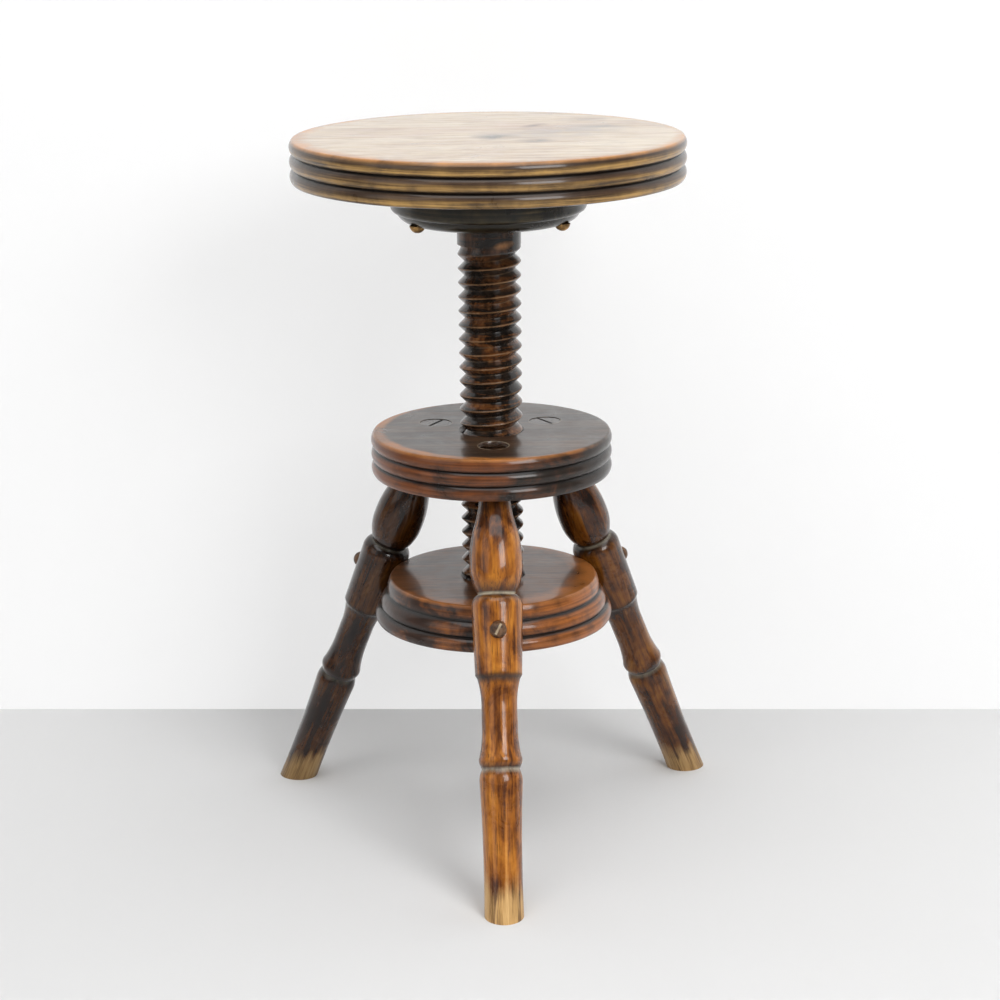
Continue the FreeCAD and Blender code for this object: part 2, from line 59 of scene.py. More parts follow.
def turned_mesh(name, outline, around, closed=False):
    """Turns an outline of (radius, height) about the z axis. A radius may be a rule that
    gives it for each angle; a closed outline joins its last point to its first."""
    mesh = bmesh.new()
    rings = []
    for radius, height in outline:
        ring = []
        for i in range(1 if radius == 0 else around):
            angle = 2 * math.pi * i / around
            r = radius(angle, height) if callable(radius) else radius
            ring.append(mesh.verts.new((r * math.cos(angle), r * math.sin(angle), height)))
        rings.append(ring)
    for low, high in zip(rings, rings[1:] + rings[:1] if closed else rings[1:]):
        for i in range(around):
            corners = [low[i % len(low)], low[(i + 1) % len(low)]]
            corners += [high[(i + 1) % len(high)], high[i % len(high)]]
            corners = list(dict.fromkeys(corners))
            if len(corners) > 2:
                mesh.faces.new(corners)
    bmesh.ops.recalc_face_normals(mesh, faces=mesh.faces)
    data = bpy.data.meshes.new(name)
    mesh.to_mesh(data)
    mesh.free()
    return data


def mark(data, name, rule, kind="FLOAT"):
    """Keeps a value or a place on every point of a mesh, for the finish to read."""
    layer = data.attributes.new(name, kind, "POINT")
    for point, item in zip(data.vertices, layer.data):
        if kind == "FLOAT":
            item.value = rule(point.co)
        else:
            item.vector = rule(point.co)


def finish_piece(name, data, material, body, slot, *nodes):
    """Puts a finished mesh into the scene as a piece that stands for its solids."""
    data.name = name
    data.materials.clear()
    data.materials.append(material)
    data.shade_smooth()
    data.set_sharp_from_angle(angle=math.radians(35))
    piece = bpy.data.objects.new(name, data)
    bpy.context.scene.collection.objects.link(piece)
    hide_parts(*nodes)
    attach(piece, body)


def cut_away(data, cutter, name):
    """The mesh with the cutter's mesh taken out of it."""
    block = bpy.data.objects.new(name + "_block", data)
    tool = bpy.data.objects.new(name + "_tool", cutter)
    for item in (block, tool):
        bpy.context.scene.collection.objects.link(item)
    cut = block.modifiers.new("cut", "BOOLEAN")
    cut.operation = "DIFFERENCE"
    cut.solver = "EXACT"
    cut.object = tool
    bpy.context.view_layer.update()
    view = bpy.context.evaluated_depsgraph_get()
    done = bpy.data.meshes.new_from_object(block.evaluated_get(view))
    done.name = name
    for item in (block, tool):
        bpy.data.objects.remove(item)
    return done


class Finish:
    """A procedural finish on one piece or one kind of piece, built node by node."""

    def __init__(self, name):
        self.material = bpy.data.materials.new(name)
        self.material.use_nodes = True
        self.nodes = self.material.node_tree.nodes
        self.links = self.material.node_tree.links
        self.shader = self.nodes["Principled BSDF"]
        self.object = self.add("ShaderNodeTexCoord").outputs["Object"]

    def add(self, kind, **settings):
        node = self.nodes.new(kind)
        for key, value in settings.items():
            setattr(node, key, value)
        return node

    def put(self, socket, value):
        if isinstance(value, bpy.types.NodeSocket):
            self.links.new(value, socket)
        else:
            socket.default_value = value

    def place(self, scale=(1, 1, 1), turn=(0, 0, 0), shift=(0, 0, 0), source=None):
        node = self.add("ShaderNodeMapping")
        self.put(node.inputs["Vector"], source or self.object)
        node.inputs["Scale"].default_value = scale
        node.inputs["Rotation"].default_value = turn
        node.inputs["Location"].default_value = shift
        return node.outputs["Vector"]

    def noise(self, where, scale, detail=4, rough=0.5, twist=0.0):
        node = self.add("ShaderNodeTexNoise")
        self.put(node.inputs["Vector"], where)
        self.put(node.inputs["Scale"], scale)
        node.inputs["Detail"].default_value = detail
        node.inputs["Roughness"].default_value = rough
        self.put(node.inputs["Distortion"], twist)
        return node.outputs["Fac"]

    def spots(self, where, scale):
        node = self.add("ShaderNodeTexVoronoi")
        self.put(node.inputs["Vector"], where)
        self.put(node.inputs["Scale"], scale)
        return node

    def math(self, kind, first, second=0.0, third=0.0):
        node = self.add("ShaderNodeMath", operation=kind)
        for socket, value in zip(node.inputs, (first, second, third)):
            self.put(socket, value)
        return node.outputs[0]

    def ramp(self, source, *stops):
        """A scale of values or colours: (place, colour) or (place, grey value)."""
        node = self.add("ShaderNodeValToRGB")
        self.put(node.inputs["Fac"], source)
        elements = node.color_ramp.elements
        while len(elements) < len(stops):
            elements.new(0.5)
        for element, (where, colour) in zip(elements, stops):
            grey = isinstance(colour, (int, float))
            element.position = where
            element.color = (colour, colour, colour, 1) if grey else (*colour, 1)
        return node.outputs["Color"]

    def mix(self, share, first, second, kind="MIX"):
        node = self.add("ShaderNodeMix", data_type="RGBA", blend_type=kind)
        for name, value in (("Factor_Float", share), ("A_Color", first), ("B_Color", second)):
            socket = [item for item in node.inputs if item.identifier == name][0]
            if isinstance(value, tuple) and len(value) == 3:
                value = (*value, 1)
            self.put(socket, value)
        return [item for item in node.outputs if item.identifier == "Result_Color"][0]

    def attribute(self, name, value="Fac"):
        return self.add("ShaderNodeAttribute", attribute_name=name).outputs[value]

    def split(self, where):
        node = self.add("ShaderNodeSeparateXYZ")
        self.put(node.inputs[0], where)
        return node.outputs

    def blot(self, where, centre, size, turn=0.0):
        """An oval mark with a soft edge: 1 in its middle and 0 outside."""
        moved = self.place(shift=(-centre[0], -centre[1], 0), source=where)
        turned = self.place(turn=(0, 0, -turn), source=moved)
        flat = self.place((1 / size[0], 1 / size[1], 0), source=turned)
        length = self.add("ShaderNodeVectorMath", operation="LENGTH")
        self.put(length.inputs[0], flat)
        return self.ramp(length.outputs["Value"], (0.2, 1.0), (1.0, 0.0))

    def varnish(self, weight, rough, coat_rough=0.12):
        self.shader.inputs["Coat Weight"].default_value = weight
        self.shader.inputs["Coat IOR"].default_value = 1.38
        self.shader.inputs["IOR"].default_value = 1.38
        self.shader.inputs["Specular IOR Level"].default_value = 0.25
        self.shader.inputs["Coat Roughness"].default_value = coat_rough
        self.put(self.shader.inputs["Roughness"], rough)

    def bump(self, height, distance, strength=1.0, before=None):
        node = self.add("ShaderNodeBump")
        node.inputs["Strength"].default_value = strength
        node.inputs["Distance"].default_value = distance
        self.put(node.inputs["Height"], height)
        if before:
            self.put(node.inputs["Normal"], before)
        return node.outputs["Normal"]


# The seat's top as photographed, its thickness and radius, and the depth of a hollow.
SEAT_TOP = 0.635
SEAT_THICK = 0.038
SEAT_LOW = SEAT_TOP - SEAT_THICK
SEAT_RADIUS = 0.1725
SEAT_HOLLOW = 0.0032


def reeded_outline(radii, low, high, hollow, bead_steps, rounding):
    """Outline of a round board whose edge is a stack of beads, from the underside up."""
    rise = (high - low) / len(radii)
    points = [(0, low), (radii[0] * 0.8, low), (radii[0] - hollow - rounding, low)]
    for level, radius in enumerate(radii):
        above = radii[min(level + 1, len(radii) - 1)]
        below = radii[max(level - 1, 0)]
        start = ((radius + below) / 2 - hollow, low + rise * level)
        end = ((radius + above) / 2 - hollow, low + rise * (level + 1))
        if level == 0:
            start = (radius - hollow, low)
        if level == len(radii) - 1:
            end = (radius - hollow, high)
        bead = arc(start, (radius, low + rise * (level + 0.5)), end, bead_steps)
        points += bead[:-1] if level == len(radii) - 1 else bead
    r, z = points[-1]
    for turn in (0.25, 0.5, 0.75, 1.0):
        angle = math.radians(90) * turn
        inner = r - rounding * (1 - math.cos(angle)) - 0.0002 * turn
        points.append((inner, z + (high - z) * math.sin(angle)))
    points += [(radii[-1] * 0.9, high), (radii[-1] * 0.5, high), (0, high)]
    return points


def bead_hollow(radii, low, high, hollow):
    """How deep a point lies between the beads: 1 in the hollow and 0 on a bead's crest."""
    beads = len(radii)
    rise = (high - low) / beads

    def rule(co):
        level = min(max((co.z - low) / rise, 0.0), beads - 1e-6)
        inside = math.hypot(co.x, co.y) < radii[int(level)] - 2.4 * hollow
        if inside or level < 0.25 or level > beads - 0.25:
            return 0.0
        return (abs(level - int(level) - 0.5) * 2) ** 3

    return rule


def board_finish(
    name, grain_turn, high, beads, radius, top, edge, warm, rim, worn_side, rim_width,
    streaky=0.25, painted_floor_reflection=0.0, holes=0.0,
):
    """Old polished wood on a round board: a streaky top with a rubbed rim, and beads dark on the
    dull side, warm on the rubbed one, and black in the hollows between them; where asked, the
    beads also take a golden painted reflection of the floor low on each bead."""
    f = Finish(name)
    turn = (0, 0, grain_turn)
    long_grain = f.noise(f.place((2.2, 26, 26), turn), 3.2, 9, 0.62, 0.9)
    pores = f.noise(f.place((14, 240, 240), turn), 3.0, 3, 0.5)
    cloud = f.noise(f.object, 9.0, 4, 0.55, 0.6)
    fine_cloud = f.noise(f.place(shift=(3, 1, 2)), 34.0, 5, 0.6, 0.5)
    rounds = f.noise(f.place((9, 9, 420)), 1.0, 6, 0.65)
    tone = f.math("MULTIPLY_ADD", cloud, 0.32, f.math("MULTIPLY", fine_cloud, 0.18))
    tone = f.math("MULTIPLY_ADD", long_grain, 0.5, tone)
    colour = f.ramp(tone, *top)
    pore_colour = f.mix(0.75, colour, (0.01, 0.006, 0.004))
    colour = f.mix(f.ramp(pores, (0.36, 0.55), (0.46, 0.0)), colour, pore_colour)

    # The rim is rubbed through to warmer wood, raggedly, and widest on the worn side.
    place = f.split(f.object)
    reach = f.math("ADD", f.math("POWER", place[0], 2.0), f.math("POWER", place[1], 2.0))
    reach = f.math("SQRT", reach)
    side = f.math("MULTIPLY", place[1], worn_side[1] / radius)
    side = f.math("MULTIPLY_ADD", place[0], worn_side[0] / radius, side)
    ragged = f.math("MULTIPLY", f.math("SUBTRACT", fine_cloud, 0.5), rim_width * 1.2)
    ragged = f.math("ADD", f.math("MULTIPLY_ADD", side, rim_width * 1.8, reach), ragged)
    inside = f.math("DIVIDE", f.math("SUBTRACT", radius * 0.985, ragged), rim_width)
    rubbed = f.ramp(inside, (0.0, 1.0), (1.0, 0.0))
    rim_tone = f.ramp(fine_cloud, (0.30, tuple(c * 0.4 for c in rim)), (0.60, rim))
    colour = f.mix(f.math("MULTIPLY", rubbed, 0.9), colour, rim_tone)

    # The beads are streaked round the edge, and warmest on the worn side and at the top, unless a
    # painted reflection takes over.
    streaks = f.math("MULTIPLY", fine_cloud, 1.0 - streaky)
    streaks = f.math("MULTIPLY_ADD", rounds, streaky, streaks)
    millimetres = f.math("MULTIPLY", f.math("SUBTRACT", high, place[2]), 1000.0)
    top_bead = f.ramp(f.math("MULTIPLY", millimetres, 0.05), (0.30, 1.0), (0.65, 0.0))
    warmth = f.math("MULTIPLY_ADD", side, 0.24, streaks)
    warmth = f.math("ADD", warmth, f.math("MULTIPLY", top_bead, 0.05))
    warmth = f.ramp(warmth, (0.50, 0.0), (0.74, 1.0))
    # Painted reflection: a golden band low on each bead stands for the pale floor reflected in it,
    # and replaces most of the worn-side warmth.
    if painted_floor_reflection:
        part = f.math("DIVIDE", f.math("SUBTRACT", place[2], beads[0]), beads[1])
        lit = f.ramp(
            f.math("FRACT", part), (0.02, 0.0), (0.20, 1.0), (0.42, 0.8), (0.66, 0.0)
        )
        lit = f.math("MULTIPLY", lit, f.ramp(streaks, (0.40, 0.15), (0.58, 1.0)))
        warmth = f.math("MULTIPLY", warmth, 1.0 - painted_floor_reflection)
        warmth = f.math("MAXIMUM", f.math("MULTIPLY", lit, painted_floor_reflection), warmth)
    dark_bead = f.ramp(streaks, (0.35, tuple(c * 0.4 for c in edge)), (0.62, edge))
    warm_bead = f.ramp(rounds, (0.33, tuple(c * 0.5 for c in warm)), (0.62, warm))
    below = f.ramp(f.math("MULTIPLY", millimetres, 0.1), (0.06, 0.0), (0.30, 1.0))
    colour = f.mix(below, colour, f.mix(warmth, dark_bead, warm_bead))
    if holes:
        cells = f.spots(f.object, 95.0)
        few = f.ramp(f.split(cells.outputs["Color"])[0], (holes, 0.0), (holes + 0.02, 1.0))
        hole = f.ramp(cells.outputs["Distance"], (0.05, 1.0), (0.085, 0.0))
        colour = f.mix(f.math("MULTIPLY", hole, few), colour, (0.004, 0.003, 0.002))
    dirt = f.ramp(f.attribute("hollow"), (0.15, 0.0), (0.70, 0.97))
    colour = f.mix(dirt, colour, (0.006, 0.004, 0.003))
    f.put(f.shader.inputs["Base Color"], colour)
    f.varnish(0.7, f.ramp(fine_cloud, (0.3, 0.26), (0.7, 0.46)))
    relief = f.math("ADD", long_grain, f.math("MULTIPLY", pores, 0.5))
    f.put(f.shader.inputs["Normal"], f.bump(relief, 0.0004, 0.5, f.bump(cloud, 0.004, 0.35)))
    f.colour, f.fine, f.below = colour, fine_cloud, below
    return f


# The seat's beads take a strong golden painted reflection of the floor low on each bead.
seat_finish = board_finish(
    "seat_fruitwood", grain_turn=0.16, high=SEAT_TOP, beads=(SEAT_LOW, SEAT_THICK / 3),
    radius=SEAT_RADIUS,
    top=(
        (0.34, (0.22, 0.130, 0.072)), (0.45, (0.41, 0.290, 0.190)),
        (0.54, (0.52, 0.410, 0.285)), (0.64, (0.58, 0.485, 0.360)),
    ),
    edge=(0.075, 0.042, 0.024), warm=(0.60, 0.350, 0.100), rim=(0.46, 0.20, 0.055),
    worn_side=(-0.15, -0.1), rim_width=0.012, streaky=0.6, painted_floor_reflection=0.9,
)

# Knots, stains and dark cracks in the top: centre, size, turn, strength and colour.
f = seat_finish
colour = f.colour
for centre, size, turn, strength, tint in (
    ((0.060, 0.020), (0.085, 0.050), 0.30, 0.75, (0.20, 0.165, 0.145)),
    ((0.030, 0.060), (0.070, 0.060), 0.80, 0.45, (0.34, 0.170, 0.095)),
    ((-0.070, 0.030), (0.070, 0.050), 0.20, 0.45, (0.36, 0.200, 0.120)),
    ((0.006, -0.012), (0.024, 0.024), 0.60, 1.0, (0.050, 0.040, 0.028)),
    ((0.038, -0.040), (0.024, 0.016), 0.10, 0.95, (0.075, 0.050, 0.035)),
    ((0.044, 0.062), (0.022, 0.010), 0.90, 1.0, (0.110, 0.045, 0.022)),
    ((0.105, 0.050), (0.030, 0.014), 0.10, 0.8, (0.120, 0.095, 0.080)),
    ((-0.060, -0.010), (0.018, 0.014), 0.20, 0.6, (0.200, 0.120, 0.070)),
    ((0.088, 0.100), (0.030, 0.016), 0.30, 0.7, (0.150, 0.110, 0.085)),
):
    patchy = f.ramp(f.fine, (0.44, 1.0), (0.60, 0.35))
    knot = f.math("MULTIPLY", f.blot(f.object, centre, size, turn), patchy)
    colour = f.mix(f.math("MULTIPLY", knot, strength), colour, tint)
f.put(f.shader.inputs["Base Color"], f.mix(f.below, colour, f.colour))

seat_radii = [SEAT_RADIUS] * 3
seat_outline = reeded_outline(seat_radii, SEAT_LOW, SEAT_TOP, SEAT_HOLLOW, 10, 0.0025)
seat_board = turned_mesh("seat_board", seat_outline, 192)
mark(seat_board, "hollow", bead_hollow(seat_radii, SEAT_LOW, SEAT_TOP, SEAT_HOLLOW))
finish_piece("seat_board", seat_board, seat_finish.material, "seat", "seat_wood", "seat_disc")

# Flange under the seat: a turned block, nearly black with old polish, rounded down to
# a lip, with a bevel worn lighter below it. The screw's tenon is glued into it and
# three round-head screws hold it to the seat.

flange_finish = Finish("flange_black_polish")
f = flange_finish
turning = f.noise(f.place((4, 4, 300)), 1.4, 6, 0.6)
patches = f.noise(f.object, 34.0, 4, 0.6)
lathe_lines = f.math("MULTIPLY_ADD", turning, 0.55, f.math("MULTIPLY", patches, 0.45))
f.put(f.shader.inputs["Base Color"], f.ramp(
    lathe_lines, (0.36, (0.006, 0.004, 0.002)), (0.50, (0.012, 0.009, 0.004)),
    (0.60, (0.040, 0.029, 0.011)), (0.68, (0.110, 0.072, 0.026)),
))
f.varnish(0.5, f.ramp(patches, (0.3, 0.22), (0.7, 0.40)))
f.put(f.shader.inputs["Normal"], f.bump(lathe_lines, 0.0006, 0.5))

# The outline runs from the flat face up a bevel and over a lip to the straight side.
FLANGE_RADIUS = 0.086
FLANGE_LOW = SEAT_LOW - 0.036
FLANGE_TOP = SEAT_LOW - 0.0001
face = (0.070, FLANGE_LOW)
lip = (0.081, FLANGE_LOW + 0.009)
shoulder = (FLANGE_RADIUS, FLANGE_LOW + 0.014)
flange_outline = [(0, FLANGE_LOW), (0.040, FLANGE_LOW), face]
flange_outline += arc(face, (0.07682, FLANGE_LOW + 0.00324), lip, 6)
flange_outline += arc(lip, (0.0845, FLANGE_LOW + 0.0105), shoulder, 6)
flange_outline += [(FLANGE_RADIUS, SEAT_LOW - 0.012), (FLANGE_RADIUS, FLANGE_TOP), (0, FLANGE_TOP)]

# Each flange screw: its direction from the middle and the turn of its slot, in degrees.
FLANGE_SCREWS = ((-150, 25), (-30, 70), (90, 130))
SCREW_CIRCLE = 0.072
SPOT_FACE = 0.0076
SPOT_DEEP = 0.002


def joined(*meshes):
    """Several meshes, each with its own place, as one mesh."""
    mesh = bmesh.new()
    for data, place in meshes:
        part = data.copy()
        part.transform(place)
        mesh.from_mesh(part)
        bpy.data.meshes.remove(part)
    data = bpy.data.meshes.new("joined")
    mesh.to_mesh(data)
    mesh.free()
    return data


def plug(radius, low, high, around=48):
    """A plain round bar, for the tool that cuts a hole."""
    return turned_mesh("plug", [(0, low), (radius, low), (radius, high), (0, high)], around)


def flange_place(azimuth, slot_angle):
    """Where a flange screw's head sits: its own z points down, out of the wood."""
    a = math.radians(azimuth)
    spot = (SCREW_CIRCLE * math.cos(a), SCREW_CIRCLE * math.sin(a), FLANGE_LOW + SPOT_DEEP)
    over = Matrix.Rotation(math.radians(180), 4, "X")
    return Matrix.Translation(spot) @ over @ Matrix.Rotation(math.radians(slot_angle), 4, "Z")


spot_faces = [(plug(SPOT_FACE, 0.0, 0.02), flange_place(*screw)) for screw in FLANGE_SCREWS]
spot_faces = joined(*spot_faces)
block = cut_away(turned_mesh("seat_block", flange_outline, 144), spot_faces, "seat_block")
finish_piece("seat_block", block, flange_finish.material, "seat", "flange_wood", "seat_flange")

# Wooden screw: a long maple screw with a coarse V thread cut on it, a plain collar at
# the top and a tenon glued into the block. Near black with grease and polish, rubbed
# brown on the crests. Its shape follows the rule of the thread, so nodes make it.

# The thread: two turns to the inch, the radii of its root and crest, how much of each
# flank's run is flat root and how much slopes, the height of a crest on the right-hand
# side, the screw's lower end, and where the thread runs out under the collar.
PITCH = 0.0127
ROOT = 0.02235
CREST = 0.028
ROOT_FLAT = 0.03
FLANK_SHARE = 0.91
CREST_START = 0.1568
SCREW_LOW = 0.178
RUNOUT = 0.541


class Rule:
    """Builds a Geometry Nodes tree with named inputs, node by node."""

    def __init__(self, name, **inputs):
        self.tree = bpy.data.node_groups.new(name, "GeometryNodeTree")
        self.sockets = {}
        for key, value in inputs.items():
            kind = {int: "NodeSocketInt", float: "NodeSocketFloat"}.get(type(value), value)
            socket = self.tree.interface.new_socket(key, in_out="INPUT", socket_type=kind)
            if not isinstance(value, str):
                socket.default_value = value
            self.sockets[key] = socket
        self.tree.interface.new_socket(
            "Geometry", in_out="OUTPUT", socket_type="NodeSocketGeometry"
        )
        self.start = self.tree.nodes.new("NodeGroupInput")
        self.end = self.tree.nodes.new("NodeGroupOutput")

    def __getitem__(self, name):
        return self.start.outputs[name]

    def put(self, socket, value):
        if isinstance(value, bpy.types.NodeSocket):
            self.tree.links.new(value, socket)
        else:
            socket.default_value = value

    def add(self, kind, inputs=None, **settings):
        node = self.tree.nodes.new(kind)
        for key, value in settings.items():
            setattr(node, key, value)
        for key, value in (inputs or {}).items():
            self.put(node.inputs[key], value)
        return node

    def math(self, kind, first, second=0.0, third=0.0):
        node = self.add("ShaderNodeMath", operation=kind)
        for socket, value in zip(node.inputs, (first, second, third)):
            self.put(socket, value)
        return node.outputs[0]

    def finish(self, geometry, material):
        real = self.add("GeometryNodeRealizeInstances", {"Geometry": geometry})
        painted = self.add(
            "GeometryNodeSetMaterial", {"Geometry": real.outputs[0], "Material": material}
        )
        self.put(self.end.inputs[0], painted.outputs[0])

    def run(self, name, start=None, **values):
        """The tree's result on a mesh, as a plain mesh."""
        start = start or bpy.data.meshes.new(name + "_start")
        holder = bpy.data.objects.new(name + "_rule", start)
        bpy.context.scene.collection.objects.link(holder)
        rule = holder.modifiers.new("rule", "NODES")
        rule.node_group = self.tree
        for key, value in values.items():
            rule[self.sockets[key].identifier] = value
        bpy.context.view_layer.update()
        view = bpy.context.evaluated_depsgraph_get()
        done = bpy.data.meshes.new_from_object(holder.evaluated_get(view))
        holder.modifiers.remove(rule)
        bpy.data.objects.remove(holder)
        done.name = name
        return done


screw_finish = Finish("screw_dark_maple")
f = screw_finish
hollow = f.attribute("hollow")
place = f.split(f.object)
smear = f.noise(f.place((1, 1, 0.8)), 30.0, 5, 0.6, 0.5)
rubs = f.noise(f.place((12, 12, 170), shift=(5, 0, 0)), 1.3, 5, 0.6, 0.3)
fibre = f.noise(f.place((95, 95, 6)), 3.0, 6, 0.65)
dark = f.math("MULTIPLY_ADD", fibre, 0.5, f.math("MULTIPLY", smear, 0.5))
dark = f.ramp(dark, (0.36, (0.005, 0.004, 0.003)), (0.60, (0.024, 0.015, 0.010)))
amber = f.ramp(
    fibre, (0.35, (0.075, 0.022, 0.006)), (0.52, (0.220, 0.075, 0.018)),
    (0.66, (0.380, 0.160, 0.050)),
)

# Where hands and the discs rub it, by height, the amber wood shows through in smears.
handled = f.ramp(place[2], (0.0, 0.6), (0.38, 0.62), (0.44, 0.8), (0.50, 0.42), (0.55, 0.25))
show = f.math("MULTIPLY_ADD", rubs, 0.55, f.math("MULTIPLY", smear, 0.45))
show = f.math("MULTIPLY", f.ramp(show, (0.47, 0.0), (0.57, 1.0)), handled)
colour = f.mix(show, dark, amber)
crest = f.ramp(hollow, (0.0, 1.0), (0.035, 0.85), (0.09, 0.0))
crest = f.math("MULTIPLY", crest, f.ramp(smear, (0.34, 0.25), (0.52, 1.0)))
crest = f.math("MULTIPLY", crest, f.ramp(place[2], (0.528, 1.0), (0.533, 0.0)))
colour = f.mix(crest, colour, (0.230, 0.125, 0.060))

# A worn orange patch on the front of the collar, and dust low in the thread.
front = f.add("ShaderNodeCombineXYZ")
f.put(front.inputs[0], place[0])
f.put(front.inputs[1], place[2])
patch = f.blot(front.outputs[0], (0.0125, 0.5425), (0.0105, 0.0042), 0.1)
patch = f.math("MULTIPLY", patch, f.ramp(place[1], (0.0, 1.0), (0.001, 0.0)))
patch = f.math("MULTIPLY", patch, f.ramp(smear, (0.35, 0.4), (0.55, 1.0)))
colour = f.mix(patch, colour, (0.420, 0.190, 0.070))
dust = f.ramp(hollow, (0.90, 0.0), (0.97, 1.0))
dust = f.math("MULTIPLY", dust, f.ramp(smear, (0.40, 0.0), (0.60, 0.8)))
colour = f.mix(dust, colour, (0.120, 0.075, 0.042))
f.put(f.shader.inputs["Base Color"], colour)
f.varnish(0.8, f.ramp(smear, (0.3, 0.20), (0.7, 0.36)), 0.10)
f.put(f.shader.inputs["Normal"], f.bump(fibre, 0.0004, 0.45, f.bump(smear, 0.003, 0.35)))

thread = Rule("screw_thread", **{
    "Bottom": SCREW_LOW, "Top": RUNOUT, "Pitch": PITCH, "Root": ROOT, "Crest": CREST,
    "Crest start": CREST_START, "Chamfer": 0.005, "Turns": 31, "Rows a turn": 16, "Around": 96,
    "Material": "NodeSocketMaterial",
})
calc = thread.math
rows = calc("MULTIPLY", thread["Turns"], thread["Rows a turn"])
sheet = thread.add("GeometryNodeMeshGrid", {
    "Size X": 1.0, "Size Y": 1.0,
    "Vertices X": calc("ADD", thread["Around"], 1.0), "Vertices Y": calc("ADD", rows, 1.0),
})
place = thread.add("ShaderNodeSeparateXYZ", {0: sheet.outputs["UV Map"]})
about, up = place.outputs[0], place.outputs[1]

# Height: each point climbs one pitch a turn, and is held at the screw's two ends.
begin = calc("SUBTRACT", thread["Crest start"], thread["Pitch"])
free = calc("MULTIPLY_ADD", up, thread["Turns"], about)
free = calc("MULTIPLY_ADD", free, thread["Pitch"], begin)
height = calc("MINIMUM", calc("MAXIMUM", free, thread["Bottom"]), thread["Top"])

# Depth: flat crest, straight flanks and flat root, running out below the collar.
phase = calc("DIVIDE", calc("SUBTRACT", height, thread["Crest start"]), thread["Pitch"])
phase = calc("SUBTRACT", phase, about)
turns = calc("FLOOR", phase)
flank = calc("MULTIPLY_ADD", calc("SUBTRACT", phase, turns), 2.0, -1.0)
flank = calc("SUBTRACT", calc("ABSOLUTE", flank), ROOT_FLAT)
flank = calc("MULTIPLY", calc("MAXIMUM", flank, 0.0), 1.0 / FLANK_SHARE)
groove = calc("ADD", calc("ADD", turns, 0.5), about)
groove = calc("MULTIPLY_ADD", groove, thread["Pitch"], thread["Crest start"])
half_pitch = calc("MULTIPLY", thread["Pitch"], 0.5)
left = calc("DIVIDE", calc("SUBTRACT", thread["Top"], groove), half_pitch)
left = calc("MINIMUM", calc("MAXIMUM", left, 0.0), 1.0)
depth = calc("MULTIPLY", calc("SUBTRACT", 1.0, calc("MINIMUM", flank, 1.0)), left)

# Radius: the crest less the depth, chamfered at the lower end and drawn in to close both.
full_depth = calc("SUBTRACT", thread["Crest"], thread["Root"])
radius = calc("SUBTRACT", thread["Crest"], calc("MULTIPLY", depth, full_depth))
chamfer = calc("SUBTRACT", thread["Crest"], thread["Chamfer"])
chamfer = calc("ADD", chamfer, calc("SUBTRACT", height, thread["Bottom"]))
radius = calc("MINIMUM", radius, chamfer)
beyond = calc("SUBTRACT", free, thread["Top"])
beyond = calc("MAXIMUM", calc("SUBTRACT", thread["Bottom"], free), beyond)
beyond = calc("DIVIDE", calc("MAXIMUM", beyond, 0.0), half_pitch)
radius = calc("MULTIPLY", radius, calc("SUBTRACT", 1.0, calc("MINIMUM", beyond, 1.0)))
angle = calc("MULTIPLY", about, 2 * math.pi)
spot = thread.add("ShaderNodeCombineXYZ", {
    0: calc("MULTIPLY", radius, calc("COSINE", angle)),
    1: calc("MULTIPLY", radius, calc("SINE", angle)), 2: height,
})
kept = thread.add(
    "GeometryNodeStoreNamedAttribute", {"Geometry": sheet.outputs["Mesh"], "Name": "hollow"},
    data_type="FLOAT", domain="POINT",
)
thread.put([item for item in kept.inputs if item.name == "Value" and item.enabled][0], depth)
moved = thread.add(
    "GeometryNodeSetPosition", {"Geometry": kept.outputs[0], "Position": spot.outputs[0]}
)
welded = thread.add(
    "GeometryNodeMergeByDistance", {"Geometry": moved.outputs[0], "Distance": 0.00001}
)
thread.finish(welded.outputs[0], thread["Material"])
threaded = thread.run("wooden_screw", Material=screw_finish.material)

# The collar hides the end of the thread and bears on the block; its tenon goes inside.
COLLAR_RADIUS = CREST + 0.0002
COLLAR_LOW = RUNOUT - 0.0005
COLLAR_TOP = FLANGE_LOW - 0.0001
TENON_RADIUS = 0.019
TENON_TOP = FLANGE_LOW + 0.02
collar = turned_mesh("collar", [
    (0, COLLAR_LOW), (COLLAR_RADIUS, COLLAR_LOW), (COLLAR_RADIUS, FLANGE_LOW - 0.003),
    (COLLAR_RADIUS, COLLAR_TOP), (TENON_RADIUS, COLLAR_TOP), (TENON_RADIUS, TENON_TOP),
    (0, TENON_TOP),
], 96)
wooden_screw = joined((threaded, Matrix()), (collar, Matrix()))
outwards = bmesh.new()
outwards.from_mesh(wooden_screw)
bmesh.ops.recalc_face_normals(outwards, faces=outwards.faces)
outwards.to_mesh(wooden_screw)
outwards.free()
finish_piece("wooden_screw", wooden_screw, screw_finish.material, "seat", "screw_wood", "spindle")

# Tenon pin: a plain round peg that spreads the screw's tenon, hidden in the block. Its
# solid is shown as it is, in the same wood as the screw.

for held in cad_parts["tenon_pin"].material_slots:
    held.material = screw_finish.material

# Middle disc: a thick round board with the upper thread tapped through it and three
# slanting sockets for the legs. Dark and grey where dust and hands dull it, with warm
# brown wood showing round the rim.

# The legs splay from a circle in the disc's top, each in a round slanting socket, whose
# mouth in the level top is an oval.
DISC_TOP = 0.372
DISC_THICK = 0.038
DISC_LOW = DISC_TOP - DISC_THICK
DISC_RADIUS = 0.108
DISC_HOLLOW = 0.0028
SPLAY = math.radians(23.5)
LEG_CIRCLE = 0.057
SOCKET_RADIUS = 0.01355
SOCKET_OVAL = 0.01478
THREAD_GAP = 0.0006
THREAD_MOUTH = 0.0013

# Each leg: its name, its direction from the middle and the turn of its screw's slot.
LEGS = (("front", -90, 62), ("right", 30, 15), ("left", 150, 100))


